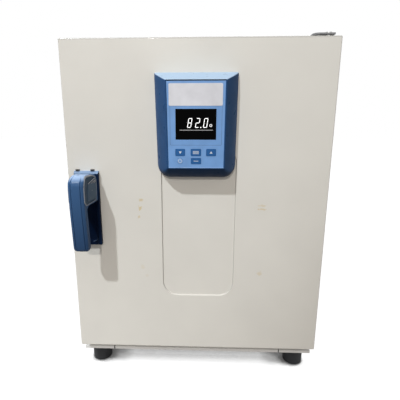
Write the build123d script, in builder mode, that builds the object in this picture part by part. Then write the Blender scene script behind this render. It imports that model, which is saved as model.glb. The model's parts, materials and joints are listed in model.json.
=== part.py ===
from build123d import *
import os

# Bench-top laboratory oven: a painted cabinet on four levelling feet, an insulated
# stainless chamber, one full-front door hinged on the right, a lever handle on the left
# and a control unit on the door. Millimetres, +Z up, -Y is the front, the origin is on
# the bench below the middle of the whole object's box.

# Driving dimensions: the cabinet
width = 530.0
door_height = 656.0
door_bottom = 70.0
door_thick = 50.0
door_gap = 8.0
body_depth = 565.0
handle_reach = 67.0
spigot_reach = 20.0
sheet = 1.5
casing_lift = 5.0
corner_radius = 6.0

# Driving dimensions: the plinth and feet
plinth_bottom = 41.5
plinth_top = 64.0
strip_top = 48.0
plinth_setback = 27.0
slit_left = -195.8
slit_right = 192.7
slit_width = 2.4
foot_radius = 22.4
foot_setback = 61.2
foot_x = 234.3
stud_radius = 4.0

# Driving dimensions: the chamber
chamber_width = 330.0
chamber_height = 480.0
chamber_depth = 400.0
chamber_mid_z = 390.0
chamber_sheet = 1.0

# Driving dimensions: the door's fittings
recess_left = -73.5
recess_right = 79.0
recess_bottom = door_bottom + 129.2
recess_depth = 2.5
panel_x = -2.9
panel_reach = 38.0
panel_low = door_bottom + 393.0
panel_high = door_bottom + 593.1
face_low = door_bottom + 416.5
face_high = door_bottom + 575.0
face_width = 109.0
handle_x = -225.9
handle_low = door_bottom + 247.5
handle_high = door_bottom + 404.0

# Driving dimensions: the hinge
hinge_x = 246.0
hinge_ahead = 34.0
pin_radius = 4.0
running_gap = 0.05

# Places worked out from them
half = width / 2
door_front = (handle_reach - body_depth) / 2
door_back = door_front + door_thick
body_face = door_back + door_gap
back_face = door_front + body_depth - spigot_reach
rear_end = door_front + body_depth
door_top = door_bottom + door_height
casing_top = door_top + casing_lift
hinge_y = body_face - hinge_ahead
plinth_face = door_front + plinth_setback
foot_front_y = door_front + foot_setback
foot_rear_y = back_face - 60
chamber_front = body_face + sheet
chamber_back = chamber_front + chamber_depth
chamber_floor = chamber_mid_z - chamber_height / 2
chamber_roof = chamber_mid_z + chamber_height / 2
liner_half = chamber_width / 2 + chamber_sheet

os.makedirs("parts", exist_ok=True)


def save(piece, name):
    """Label a finished piece and write it."""
    piece.part.label = name
    export_step(piece.part, f"parts/{name}.step")


def block(x, y, z, mode=Mode.ADD):
    """Box between the low and high values of x, y and z."""
    with Locations((sum(x) / 2, sum(y) / 2, sum(z) / 2)):
        Box(x[1] - x[0], y[1] - y[0], z[1] - z[0], mode=mode)


def rod_x(y, z, radius, span, mode=Mode.ADD):
    """Cylinder along X between the two values of span."""
    with Locations((sum(span) / 2, y, z)):
        Cylinder(radius, span[1] - span[0], rotation=(0, 90, 0), mode=mode)


def rod_y(x, z, radius, span, mode=Mode.ADD):
    """Cylinder along Y between the two values of span."""
    with Locations((x, sum(span) / 2, z)):
        Cylinder(radius, span[1] - span[0], rotation=(90, 0, 0), mode=mode)


def rod_z(x, y, radius, span, mode=Mode.ADD):
    """Upright cylinder between the two values of span."""
    with Locations((x, y, sum(span) / 2)):
        Cylinder(radius, span[1] - span[0], mode=mode)


def plate(x, z, y, radius, mode=Mode.ADD):
    """Upright plate facing the front, with rounded corners, thick from y[0] to y[1]."""
    with BuildSketch(Plane.XZ.offset(-y[0])) as outline:
        with Locations((sum(x) / 2, sum(z) / 2)):
            RectangleRounded(x[1] - x[0], z[1] - z[0], radius)
    extrude(outline.sketch, amount=-(y[1] - y[0]), mode=mode)


# Cabinet shell

def hood_outline(inset):
    """Outline of the casing's two sides and rounded top, moved in by inset."""
    with BuildSketch(Plane.XZ.offset(-body_face)) as outline:
        with Locations((0, (plinth_top + casing_top - inset) / 2)):
            Rectangle(width - 2 * inset, casing_top - plinth_top - inset)
        fillet(outline.vertices().group_by(Axis.Y)[-1], corner_radius - inset)
    return outline.sketch


with BuildPart() as outer_casing:
    casing_depth = back_face - sheet - body_face
    extrude(hood_outline(0), amount=-casing_depth)
    extrude(hood_outline(sheet), amount=-casing_depth, mode=Mode.SUBTRACT)
save(outer_casing, "outer_casing")

latch_x = handle_x - 15
latch_pivot_z = handle_high - 34
with BuildPart() as front_frame:
    extrude(hood_outline(sheet), amount=-sheet)
    plate((-chamber_width / 2, chamber_width / 2), (chamber_floor, chamber_roof),
          (body_face, body_face + sheet), 8, Mode.SUBTRACT)
    block((latch_x - 7, latch_x + 7), (body_face, body_face + sheet),
          (latch_pivot_z - 15.5, latch_pivot_z + 20), Mode.SUBTRACT)
save(front_frame, "front_frame")

inlet_x = -185.0
inlet_z = 118.0
vent_x = 105.0
vent_z = 590.0
vent_radius = 15.0
with BuildPart() as rear_cover:
    plate((-half, half), (plinth_top, casing_top), (back_face - sheet, back_face), corner_radius)
    for z in (170, 640):
        with BuildSketch(Plane.XZ.offset(-back_face)) as louvres:
            with Locations((0, z)):
                with GridLocations(22, 0, 9, 1):
                    SlotOverall(46, 7, rotation=90)
        extrude(louvres.sketch, amount=sheet, mode=Mode.SUBTRACT)
    block((inlet_x - 14.2, inlet_x + 14.2), (back_face - sheet, back_face),
          (inlet_z - 24.2, inlet_z + 24.2), Mode.SUBTRACT)
    rod_y(vent_x, vent_z, vent_radius + 0.2, (back_face - sheet, back_face), Mode.SUBTRACT)
save(rear_cover, "rear_cover")

with BuildPart() as cover_screws:
    for x in (-half + 12, half - 12):
        for z in (plinth_top + 20, chamber_mid_z, casing_top - 20):
            rod_y(x, z, 4, (back_face, back_face + 2.4))
save(cover_screws, "cover_screws")

pan_front = plinth_face + 12
with BuildPart() as base_pan:
    block((-half + sheet, half - sheet), (pan_front, back_face), (plinth_bottom, plinth_top))
    block((-half + 2 * sheet, half - 2 * sheet), (pan_front + sheet, back_face - sheet),
          (plinth_bottom + sheet, plinth_top), Mode.SUBTRACT)
    for x in (-foot_x, foot_x):
        for y in (foot_front_y, foot_rear_y):
            rod_z(x, y, stud_radius + running_gap, (plinth_bottom, plinth_bottom + sheet), Mode.SUBTRACT)
save(base_pan, "base_pan")


def plinth_front(low, high):
    """Folded strip under the door: an upright face with a lip going back over the pan."""
    with BuildPart() as strip:
        block((low, high), (plinth_face, plinth_face + sheet), (plinth_bottom, strip_top))
        block((low, high), (plinth_face, pan_front), (strip_top - sheet, strip_top))
        for x in (-half, half - sheet):
            if low <= x < high:
                block((x, x + sheet), (plinth_face, body_face), (plinth_bottom, strip_top))
    return strip


save(plinth_front(slit_left + slit_width / 2, slit_right - slit_width / 2), "plinth_strip")
save(plinth_front(-half, slit_left - slit_width / 2), "plinth_corner_left")
save(plinth_front(slit_right + slit_width / 2, half), "plinth_corner_right")

for side, x in (("left", -foot_x), ("right", foot_x)):
    for end, y in (("front", foot_front_y), ("rear", foot_rear_y)):
        with BuildPart() as foot:
            rod_z(x, y, foot_radius, (0, plinth_bottom - 0.3))
            fillet(foot.edges().filter_by(GeomType.CIRCLE).group_by(Axis.Z)[0], 2.5)
            rod_z(x, y, stud_radius, (plinth_bottom - 1, plinth_top - 2))
        save(foot, f"foot_{end}_{side}")

# Chamber, its insulation and its seal

heater_z = 400.0
heater_ring_radius = 74.0
heater_radius = 4.0
sensor_x = -110.0
sensor_z = 560.0
with BuildPart() as inner_chamber:
    block((-liner_half, liner_half), (chamber_front, chamber_back + chamber_sheet),
          (chamber_floor - chamber_sheet, chamber_roof + chamber_sheet))
    block((-liner_half + chamber_sheet, liner_half - chamber_sheet), (chamber_front, chamber_back),
          (chamber_floor, chamber_roof), Mode.SUBTRACT)
    rear_wall = (chamber_back, chamber_back + chamber_sheet)
    rod_y(0, heater_z, 6, rear_wall, Mode.SUBTRACT)
    rod_y(vent_x, vent_z, vent_radius - 1.5, rear_wall, Mode.SUBTRACT)
    rod_y(sensor_x, sensor_z, 3.2, rear_wall, Mode.SUBTRACT)
    for x in (-heater_ring_radius, heater_ring_radius):
        rod_y(x, heater_z, heater_radius + 0.3, rear_wall, Mode.SUBTRACT)
save(inner_chamber, "inner_chamber")

insulation_half = 238.0
wool_front = chamber_front + 3
wool_back = chamber_back + 46
with BuildPart() as insulation_sides:
    block((-insulation_half, -liner_half), (wool_front, wool_back), (plinth_top + 4, casing_top - 8))
    block((liner_half, insulation_half), (wool_front, wool_back), (plinth_top + 4, casing_top - 8))
save(insulation_sides, "insulation_sides")

with BuildPart() as insulation_top:
    block((-liner_half, liner_half), (wool_front, wool_back), (chamber_roof + chamber_sheet, casing_top - 8))
save(insulation_top, "insulation_top")

with BuildPart() as insulation_bottom:
    block((-liner_half, liner_half), (wool_front, wool_back),
          (plinth_bottom + sheet, chamber_floor - chamber_sheet))
save(insulation_bottom, "insulation_bottom")

with BuildPart() as insulation_rear:
    depth = (chamber_back + chamber_sheet, wool_back)
    block((-liner_half, liner_half), depth, (chamber_floor - chamber_sheet, chamber_roof + chamber_sheet))
    rod_y(0, heater_z, 10, depth, Mode.SUBTRACT)
    rod_y(vent_x, vent_z, vent_radius + 0.2, depth, Mode.SUBTRACT)
    rod_y(sensor_x, sensor_z, 3.2, depth, Mode.SUBTRACT)
    for x in (-heater_ring_radius, heater_ring_radius):
        rod_y(x, heater_z, heater_radius + 0.3, depth, Mode.SUBTRACT)
save(insulation_rear, "insulation_rear")

seal_inner = 8.0
seal_width = 14.0
seal_thick = door_gap - 0.5
with BuildPart() as door_gasket:
    reach_x = chamber_width / 2 + seal_inner
    reach_z = chamber_height / 2 + seal_inner
    depth = (body_face - seal_thick, body_face)
    plate((-reach_x - seal_width, reach_x + seal_width),
          (chamber_mid_z - reach_z - seal_width, chamber_mid_z + reach_z + seal_width), depth, 24)
    plate((-reach_x, reach_x), (chamber_mid_z - reach_z, chamber_mid_z + reach_z), depth, 12, Mode.SUBTRACT)
    fillet(door_gasket.faces().sort_by(Axis.Y)[0].edges(), 3)
save(door_gasket, "door_gasket")

# Heater, fan, sensor and vent

baffle_y = chamber_back - 52
baffle_half = chamber_width / 2 - 1
with BuildPart() as rear_baffle:
    depth = (baffle_y, baffle_y + 1)
    plate((-baffle_half, baffle_half), (chamber_floor + 1, chamber_roof - 1), depth, 4)
    with BuildSketch(Plane.XZ.offset(-baffle_y)) as intake:
        with Locations((0, heater_z)):
            for ring_radius, count in ((14, 6), (28, 12), (42, 18)):
                with PolarLocations(ring_radius, count):
                    Circle(5)
    extrude(intake.sketch, amount=-1, mode=Mode.SUBTRACT)
    with BuildSketch(Plane.XZ.offset(-baffle_y)) as outlets:
        for x in (-135, 135):
            with Locations((x, chamber_mid_z)):
                with GridLocations(0, 38, 1, 11):
                    SlotOverall(40, 9)
    extrude(outlets.sketch, amount=-1, mode=Mode.SUBTRACT)
    for x in (-baffle_half, baffle_half - 12):
        for z in (chamber_floor + 30, chamber_roof - 60):
            block((x, x + 12), (baffle_y, chamber_back), (z, z + 30))
save(rear_baffle, "rear_baffle")

heater_y = chamber_back - 20
with BuildPart() as heater_ring:
    with Locations(Plane((0, heater_y, heater_z), z_dir=(0, 1, 0))):
        Torus(heater_ring_radius, heater_radius)
    for x in (-heater_ring_radius, heater_ring_radius):
        rod_y(x, heater_z, heater_radius, (heater_y, wool_back + 12))
save(heater_ring, "heater_ring")

motor_front = wool_back + 2
fan_radius = 55.0
with BuildPart() as fan_impeller:
    rod_y(0, heater_z, 4, (heater_y - 14, motor_front + 14))
    rod_y(0, heater_z, 11, (heater_y - 16, heater_y + 12))
    rod_y(0, heater_z, fan_radius, (heater_y + 8, heater_y + 10))
    with Locations(Plane((0, heater_y - 3, heater_z), z_dir=(0, 1, 0))):
        with PolarLocations(0, 8):
            with Locations((32, 0)):
                Box(44, 2, 24)
save(fan_impeller, "fan_impeller")

with BuildPart() as fan_motor:
    rod_y(0, heater_z, 36, (motor_front, back_face - sheet - 1))
    rod_y(0, heater_z, 4 + running_gap, (motor_front, motor_front + 16), Mode.SUBTRACT)
    block((-60, 60), (motor_front, motor_front + 2), (heater_z - 12, heater_z + 12))
    rod_y(0, heater_z, 4 + running_gap, (motor_front, motor_front + 2), Mode.SUBTRACT)
save(fan_motor, "fan_motor")

with BuildPart() as temperature_sensor:
    rod_y(sensor_x, sensor_z, 2.4, (baffle_y + 12, wool_back + 8))
    rod_y(sensor_x, sensor_z, 6, (wool_back, wool_back + 8))
save(temperature_sensor, "temperature_sensor")

damper_y = rear_end - 14.5
spigot_length = 10.0
with BuildPart() as vent_tube:
    rod_y(vent_x, vent_z, vent_radius, (chamber_back + chamber_sheet, rear_end))
    rod_y(vent_x, vent_z, vent_radius + 1, (rear_end - spigot_length, rear_end))
    rod_y(vent_x, vent_z, vent_radius - 1.5, (chamber_back + chamber_sheet, rear_end), Mode.SUBTRACT)
    rod_x(damper_y, vent_z, 1.8, (vent_x - vent_radius - 1, vent_x + vent_radius + 1), Mode.SUBTRACT)
save(vent_tube, "vent_tube")

with BuildPart() as vent_damper:
    rod_y(vent_x, vent_z, vent_radius - 2, (damper_y - 0.7, damper_y + 0.7))
    rod_x(damper_y, vent_z, 1.74, (vent_x - vent_radius - 2, vent_x + vent_radius + 8))
    lever_x = vent_x + vent_radius + 4
    block((lever_x, lever_x + 4), (damper_y - 3, damper_y + 3), (vent_z - 4, vent_z + 24))
save(vent_damper, "vent_damper")

# Shelves on their racks

rack_x = chamber_width / 2 - 1.5
rack_front = chamber_front + 22
rack_back = baffle_y - 6
runner_pitch = 60.0
runner_low = chamber_floor + 60
upright_width = 14.0
upright_thick = 2.0
with BuildPart() as shelf_uprights:
    for x in (-rack_x, rack_x - upright_thick):
        for y in (rack_front + upright_width / 2, rack_back - upright_width / 2):
            with BuildSketch(Plane.YZ.offset(x)) as strip:
                with Locations((y, chamber_mid_z)):
                    Rectangle(upright_width, chamber_height - 24)
                    with GridLocations(0, runner_pitch / 2, 1, 14):
                        SlotOverall(9, 3, rotation=90, mode=Mode.SUBTRACT)
            extrude(strip.sketch, amount=upright_thick)
save(shelf_uprights, "shelf_uprights")

shelf_level = {"lower_shelf": runner_low + runner_pitch, "upper_shelf": runner_low + 4 * runner_pitch}
runner_x = rack_x - upright_thick
with BuildPart() as shelf_runners:
    for sign in (-1, 1):
        for z in shelf_level.values():
            block(sorted((sign * runner_x, sign * (runner_x - 1.5))), (rack_front, rack_back), (z - 8, z))
            block(sorted((sign * runner_x, sign * (runner_x - 12))), (rack_front, rack_back), (z - 1.5, z))
save(shelf_runners, "shelf_runners")

wire = 2.4
shelf_half = rack_x - 5
wire_count = 19
for name, level in shelf_level.items():
    z = level + wire
    near, far = rack_front + 3, rack_back - 3
    with BuildPart() as shelf:
        with Locations((0, (near + far) / 2, z + 0.3)):
            with GridLocations(2 * shelf_half / (wire_count + 1), 0, wire_count, 1):
                Cylinder(1.4, far - near + 1.6, rotation=(90, 0, 0))
        with Locations((0, near, z), (0, far, z)):
            Cylinder(wire, 2 * shelf_half, rotation=(0, 90, 0))
        with Locations((-shelf_half + wire, (near + far) / 2, z), (shelf_half - wire, (near + far) / 2, z)):
            Cylinder(wire - 0.4, far - near + 1.6, rotation=(90, 0, 0))
    save(shelf, name)

# Mains inlet and electronics in the rear bay

with BuildPart() as mains_inlet:
    block((inlet_x - 17, inlet_x + 17), (back_face, back_face + 2), (inlet_z - 27, inlet_z + 27))
    block((inlet_x - 14, inlet_x + 14), (back_face - 24, back_face), (inlet_z - 24, inlet_z + 24))
    block((inlet_x - 12, inlet_x + 12), (back_face - 16, back_face + 2),
          (inlet_z + 2, inlet_z + 20), Mode.SUBTRACT)
    block((inlet_x - 11, inlet_x + 11), (back_face - 20, back_face + 2),
          (inlet_z - 18, inlet_z - 6), Mode.SUBTRACT)
    for x, z in ((-7, 9), (7, 9), (0, 14)):
        block((inlet_x + x - 1, inlet_x + x + 1), (back_face - 17, back_face - 2),
              (inlet_z + z - 2, inlet_z + z + 2))
save(mains_inlet, "mains_inlet")

with BuildPart() as fuse_drawer:
    block((inlet_x - 10.7, inlet_x + 10.7), (back_face - 19, back_face + 3), (inlet_z - 17.7, inlet_z - 6.3))
    block((inlet_x - 4, inlet_x + 4), (back_face + 3, back_face + 4.5), (inlet_z - 8.5, inlet_z - 6.3))
save(fuse_drawer, "fuse_drawer")

board_y = back_face - 16
with BuildPart() as power_board:
    block((-225, -85), (board_y, board_y + 1.6), (210, 330))
    block((-215, -180), (board_y - 16, board_y), (230, 260))
    block((-165, -140), (board_y - 14, board_y), (225, 265))
    for x in (-205, -175, -145):
        rod_y(x, 300, 8, (board_y - 16, board_y))
    for x in (-219, -91):
        for z in (216, 324):
            rod_y(x, z, 3, (board_y, back_face - sheet))
save(power_board, "power_board")

# Hinge between the cabinet and the door

plate_left = 217.0
plate_right = 257.0
plate_thick = 3.2
with BuildPart() as top_hinge_bracket:
    with BuildSketch(Plane.XY.offset(casing_top)):
        with BuildLine():
            Polyline((plate_left + 14, door_front + 16), (plate_right, door_front + 16),
                     (plate_right, body_face + 60), (plate_left, body_face + 60),
                     (plate_left, door_front + 27))
            TangentArc((plate_left, door_front + 27), (plate_left + 14, door_front + 16), tangent=(0, -1))
        make_face()
    extrude(amount=plate_thick)
    rod_z(hinge_x, hinge_y, pin_radius, (casing_top, casing_top + plate_thick), Mode.SUBTRACT)
save(top_hinge_bracket, "top_hinge_bracket")

with BuildPart() as bottom_hinge_bracket:
    block((plate_left, plate_right), (hinge_y - 10, body_face), (plinth_top, plinth_top + plate_thick))
    rod_z(hinge_x, hinge_y, pin_radius, (plinth_top, plinth_top + plate_thick), Mode.SUBTRACT)
save(bottom_hinge_bracket, "bottom_hinge_bracket")

pin_into_door = 20.0
with BuildPart() as hinge_pins:
    rod_z(hinge_x, hinge_y, pin_radius, (door_top - pin_into_door, casing_top + plate_thick))
    rod_z(hinge_x, hinge_y, 6.5, (casing_top + plate_thick, casing_top + plate_thick + 2))
    rod_z(hinge_x, hinge_y, pin_radius, (plinth_top, door_bottom + pin_into_door))
save(hinge_pins, "hinge_pins")

with BuildPart() as hinge_screws:
    for x in (plate_left + 10, plate_right - 10):
        for y in (body_face + 14, body_face + 44):
            rod_z(x, y, 4.5, (casing_top + plate_thick, casing_top + plate_thick + 2))
save(hinge_screws, "hinge_screws")

collar_radius = 8.0
bush_length = 20.0
with BuildPart() as hinge_bushes:
    for edge, inward in ((door_top, -1), (door_bottom, 1)):
        inside = edge + inward * sheet
        deep = inside + inward * bush_length
        outside = edge - inward * 1.7
        block((hinge_x - 11, hinge_x + 11), (hinge_y - 11, hinge_y + 11), sorted((inside, deep)))
        rod_z(hinge_x, hinge_y, collar_radius, sorted((inside, outside)))
        rod_z(hinge_x, hinge_y, pin_radius + running_gap, sorted((deep, outside)), Mode.SUBTRACT)
save(hinge_bushes, "hinge_bushes")

# Door leaf

with BuildPart() as door_skin:
    block((-half, half), (door_front, door_back), (door_bottom, door_top))
    fillet(door_skin.edges().filter_by(Axis.Z).group_by(Axis.Y)[0], 2.5)
    fillet(door_skin.faces().sort_by(Axis.Y)[0].edges().filter_by(Axis.X), 2.4)
    block((-half + sheet, half - sheet), (door_front + sheet, door_back),
          (door_bottom + sheet, door_top - sheet), Mode.SUBTRACT)
    bulge = (door_front + sheet, door_front + sheet + recess_depth)
    recess_top = panel_low + 60
    plate((recess_left - sheet, recess_right + sheet), (recess_bottom - sheet, recess_top + sheet), bulge, 33)
    with BuildSketch(Plane.XZ.offset(-door_front)):
        with Locations(((recess_left + recess_right) / 2, (recess_bottom + recess_top) / 2)):
            RectangleRounded(recess_right - recess_left, recess_top - recess_bottom, 32)
    extrude(amount=-recess_depth, taper=35, mode=Mode.SUBTRACT)
    for z in (door_top - sheet, door_bottom):
        rod_z(hinge_x, hinge_y, collar_radius, (z, z + sheet), Mode.SUBTRACT)
    block((latch_x - 4, latch_x + 4), (door_front, door_front + sheet),
          (handle_high - 32, handle_high - 8), Mode.SUBTRACT)
save(door_skin, "door_skin")

with BuildPart() as door_inner_panel:
    plate((-half + sheet, half - sheet), (door_bottom + sheet, door_top - sheet),
          (door_back - sheet, door_back), 2)
    plate((-145, 145), (chamber_mid_z - 220, chamber_mid_z + 220), (door_back, door_back + 4), 20)
    fillet(door_inner_panel.faces().sort_by(Axis.Y)[-1].edges(), 3)
    block((latch_x - 4, latch_x + 4), (door_back - sheet, door_back),
          (latch_pivot_z - 17, latch_pivot_z + 20), Mode.SUBTRACT)
save(door_inner_panel, "door_inner_panel")

with BuildPart() as door_insulation:
    block((-212, 230), (door_front + sheet + recess_depth + 1, door_back - sheet),
          (door_bottom + 12, door_top - 12))
save(door_insulation, "door_insulation")

# Control unit

face_mid = (face_low + face_high) / 2
panel_width = 161.0
rim_y = door_front - panel_reach
face_y = door_front - panel_reach + 1


def housing_outline(y, width_here, low, high, radius_top, radius_low):
    """Sketch of the control unit's outline at depth y, square-shouldered and round-footed."""
    with BuildSketch(Plane.XZ.offset(-y)) as outline:
        with Locations((panel_x, (low + high) / 2)):
            Rectangle(width_here, high - low)
        fillet(outline.vertices().group_by(Axis.Y)[-1], radius_top)
        fillet(outline.vertices().group_by(Axis.Y)[0], radius_low)
    return outline.sketch


with BuildPart() as control_housing:
    loft([housing_outline(door_front, panel_width, panel_low, panel_high, 4, 24),
          housing_outline(door_front - 10, panel_width - 3, panel_low + 1.5, panel_high - 1, 4, 23)])
    loft([housing_outline(door_front - 10, panel_width - 3, panel_low + 1.5, panel_high - 1, 4, 23),
          housing_outline(rim_y, face_width + 4, face_low - 2, face_high + 2, 1.5, 2)])
    plate((panel_x - face_width / 2, panel_x + face_width / 2), (face_low, face_high),
          (rim_y, rim_y + 4), 1, Mode.SUBTRACT)
    block((panel_x - face_width / 2 + 2, panel_x + face_width / 2 - 2), (rim_y + 4, door_front),
          (face_low + 2, face_high - 2), Mode.SUBTRACT)
    plate((panel_x - panel_width / 2 + 10, panel_x + panel_width / 2 - 10),
          (panel_low + 10, panel_high - 8), (door_front - 13, door_front), 16, Mode.SUBTRACT)
save(control_housing, "control_housing")

key_size = {
    "key_down": (-32.1, door_bottom + 445.4, 18.1, 13.2),
    "key_menu": (-2.5, door_bottom + 445.4, 19.3, 13.2),
    "key_up": (26.3, door_bottom + 445.4, 18.3, 13.2),
    "key_enter": (-2.2, door_bottom + 429.2, 19.1, 11.4),
    "key_power": (-32.4, door_bottom + 429.3, 10.8, 10.8),
}
display_x = -2.7
display_z = door_bottom + 497.4
display_width = 76.0
display_height = 56.3
face_back = face_y + 2


def key_outline(name, margin):
    """Outline of one key, grown by margin on every side; the power key is round."""
    x, z, wide, tall = key_size[name]
    with BuildSketch(Plane.XZ.offset(-face_y)) as outline:
        with Locations((x, z)):
            if name == "key_power":
                Circle(wide / 2 + margin)
            else:
                RectangleRounded(wide + 2 * margin, tall + 2 * margin, 1.6 + margin)
    return outline.sketch


with BuildPart() as control_face:
    plate((panel_x - face_width / 2 + 0.2, panel_x + face_width / 2 - 0.2),
          (face_low + 0.2, face_high - 0.2), (face_y, face_back), 1)
    for name in key_size:
        extrude(key_outline(name, 0.3), amount=-2, mode=Mode.SUBTRACT)
    plate((display_x - display_width / 2, display_x + display_width / 2),
          (display_z - display_height / 2, display_z + display_height / 2), (face_y, face_back),
          1, Mode.SUBTRACT)
save(control_face, "control_face")

with BuildPart() as badge_plate:
    plate((-52.8, 46.3), (door_bottom + 530.9, door_bottom + 570.5), (face_y - 0.6, face_y), 2.5)
save(badge_plate, "badge_plate")

with BuildPart() as display_lens:
    plate((display_x - display_width / 2 + 0.1, display_x + display_width / 2 - 0.1),
          (display_z - display_height / 2 + 0.1, display_z + display_height / 2 - 0.1),
          (face_y + 0.3, face_back), 0.9)
save(display_lens, "display_lens")

with BuildPart() as display_module:
    block((display_x - 42, display_x + 42), (face_back, face_back + 4.5), (display_z - 26, display_z + 30))
save(display_module, "display_module")

for name in key_size:
    with BuildPart() as key:
        extrude(key_outline(name, 0), amount=0.5)
        fillet(key.faces().sort_by(Axis.Y)[0].edges(), 0.3)
        extrude(key_outline(name, 0), amount=-2.1)
        with BuildSketch(Plane.XZ.offset(-face_back - 0.1)) as flange:
            with Locations((key_size[name][0], key_size[name][1])):
                Rectangle(key_size[name][2] + 1.4, key_size[name][3] + 1.4)
        extrude(flange.sketch, amount=-1)
    save(key, name)

with BuildPart() as keypad_mat:
    block((panel_x - 50, panel_x + 50), (face_back + 2.2, face_back + 3.2), (face_low + 3, display_z - 32))
save(keypad_mat, "keypad_mat")

with BuildPart() as control_board:
    block((panel_x - 52, panel_x + 52), (face_back + 4.5, face_back + 6.1), (face_low + 3, face_high - 4))
    block((-30, 10), (face_back + 6.1, face_back + 14), (face_mid - 10, face_mid + 30))
    rod_y(28, face_mid - 30, 7, (face_back + 6.1, face_back + 16))
save(control_board, "control_board")

# Handle, lever and latch

base_half = 25.0
base_thick = 8.0
well_depth = 5.5
pivot_y = door_front - 16
pivot_z = handle_high - 18
with BuildPart() as handle_base:
    block((handle_x - base_half, handle_x + base_half), (door_front - base_thick, door_front),
          (handle_low, handle_high))
    chamfer(handle_base.faces().sort_by(Axis.Y)[0].edges().sort_by(Axis.Z)[-1], 5)
    fillet(handle_base.faces().sort_by(Axis.Y)[0].edges().filter_by(Axis.Z), 2)
    with BuildSketch(Plane.XZ.offset(base_thick - door_front)):
        with Locations((handle_x, handle_low + 60)):
            RectangleRounded(2 * base_half - 10, 106, 12)
    extrude(amount=-well_depth, taper=35, mode=Mode.SUBTRACT)
    block((handle_x - 6, handle_x + 6), (pivot_y, door_front - base_thick), (pivot_z - 7, pivot_z + 7))
    rod_x(pivot_y, pivot_z, 7, (handle_x - 6, handle_x + 6))
    rod_x(pivot_y, pivot_z, 3, (handle_x - 6, handle_x + 6), Mode.SUBTRACT)
    block((latch_x - 4, latch_x + 4), (door_front - base_thick, door_front),
          (handle_high - 32, handle_high - 8), Mode.SUBTRACT)
save(handle_base, "handle_base")

with BuildPart() as lever_pin:
    rod_x(pivot_y, pivot_z, 3, (handle_x - 15, handle_x + 15))
save(lever_pin, "lever_pin")

lever_front = door_front - handle_reach
lever_top = handle_high - 2
hood_back_top = pivot_z + 13
lever_low = handle_low + 3
paddle_thick = 13.0
paddle_back = lever_front + paddle_thick
block_low = handle_high - 61.5
block_back = pivot_y + 7.5
front_half = 14.6
paddle_half = 15.4
back_half = 24.2
insert_deep = 3.0


def insert_block(sign):
    """Grip insert let into the lever's side; sign is -1 on the left and 1 on the right."""
    with BuildPart() as grip:
        with BuildSketch(Plane.YZ.offset(handle_x)):
            with BuildLine():
                Polyline((lever_front + 4, lever_top - 26), (lever_front + 8, lever_top - 13),
                         (lever_front + 20, lever_top - 3), (lever_front + 38, lever_top - 3),
                         (pivot_y, hood_back_top - 3), (pivot_y + 2, pivot_z - 12),
                         (pivot_y - 3, block_low + 5), (lever_front + 12, block_low + 2.5),
                         (lever_front + 4, block_low + 9), close=True)
            make_face()
        extrude(amount=sign * 30)
        with BuildSketch(Plane.XY.offset(block_low)):
            with BuildLine():
                side_line = [(handle_x + sign * front_half, lever_front),
                             (handle_x + sign * paddle_half, paddle_back),
                             (handle_x + sign * back_half, door_front)]
                inner_line = [(x - sign * insert_deep, y) for x, y in reversed(side_line)]
                Polyline(*side_line, *inner_line, close=True)
            make_face()
        extrude(amount=lever_top - block_low, mode=Mode.INTERSECT)
    return grip.part


with BuildPart() as handle_inserts:
    add(insert_block(-1))
    add(insert_block(1))
save(handle_inserts, "handle_inserts")

with BuildPart() as handle_lever:
    with BuildSketch(Plane.XY.offset(lever_low)):
        with BuildLine():
            Polyline((handle_x - front_half, lever_front), (handle_x + front_half, lever_front),
                     (handle_x + paddle_half, paddle_back), (handle_x + back_half, door_front),
                     (handle_x - back_half, door_front), (handle_x - paddle_half, paddle_back), close=True)
        make_face()
    extrude(amount=lever_top - lever_low)
    with BuildSketch(Plane.YZ.offset(handle_x)):
        with BuildLine():
            Line((pivot_y + 3, hood_back_top), (lever_front + 32, lever_top))
            Line((lever_front + 32, lever_top), (lever_front + 20, lever_top))
            RadiusArc((lever_front + 20, lever_top), (lever_front, lever_top - 22), -22)
            Line((lever_front, lever_top - 22), (lever_front, lever_low + 9))
            RadiusArc((lever_front, lever_low + 9), (lever_front + 8, lever_low), -9)
            Line((lever_front + 8, lever_low), (paddle_back - 3, lever_low))
            RadiusArc((paddle_back - 3, lever_low), (paddle_back, lever_low + 4), -4)
            Line((paddle_back, lever_low + 4), (paddle_back, block_low - 8))
            Line((paddle_back, block_low - 8), (paddle_back + 8, block_low))
            Line((paddle_back + 8, block_low), (block_back - 7, block_low + 3))
            Line((block_back - 7, block_low + 3), (block_back, pivot_z - 12))
            Line((block_back, pivot_z - 12), (block_back, pivot_z))
            Line((block_back, pivot_z), (pivot_y + 3, hood_back_top))
        make_face()
    extrude(amount=40, both=True, mode=Mode.INTERSECT)
    add(handle_inserts.part, mode=Mode.SUBTRACT)
    block((handle_x - 7, handle_x + 7), (pivot_y - 12, block_back),
          (pivot_z - 30, pivot_z + 9.5), Mode.SUBTRACT)
    block((latch_x - 3, latch_x + 3), (pivot_y, door_front + 5), (pivot_z - 4, pivot_z + 4))
    rod_x(pivot_y, pivot_z, 3 + running_gap, (handle_x - 15.2, handle_x + 15.2), Mode.SUBTRACT)
save(handle_lever, "handle_lever")

with BuildPart() as handle_clips:
    for x in (handle_x - 17.8, handle_x + 12.7):
        block((x - 3.4, x + 3.4), (door_front - 5, door_front), (handle_high, handle_high + 3.4))
save(handle_clips, "handle_clips")

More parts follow.
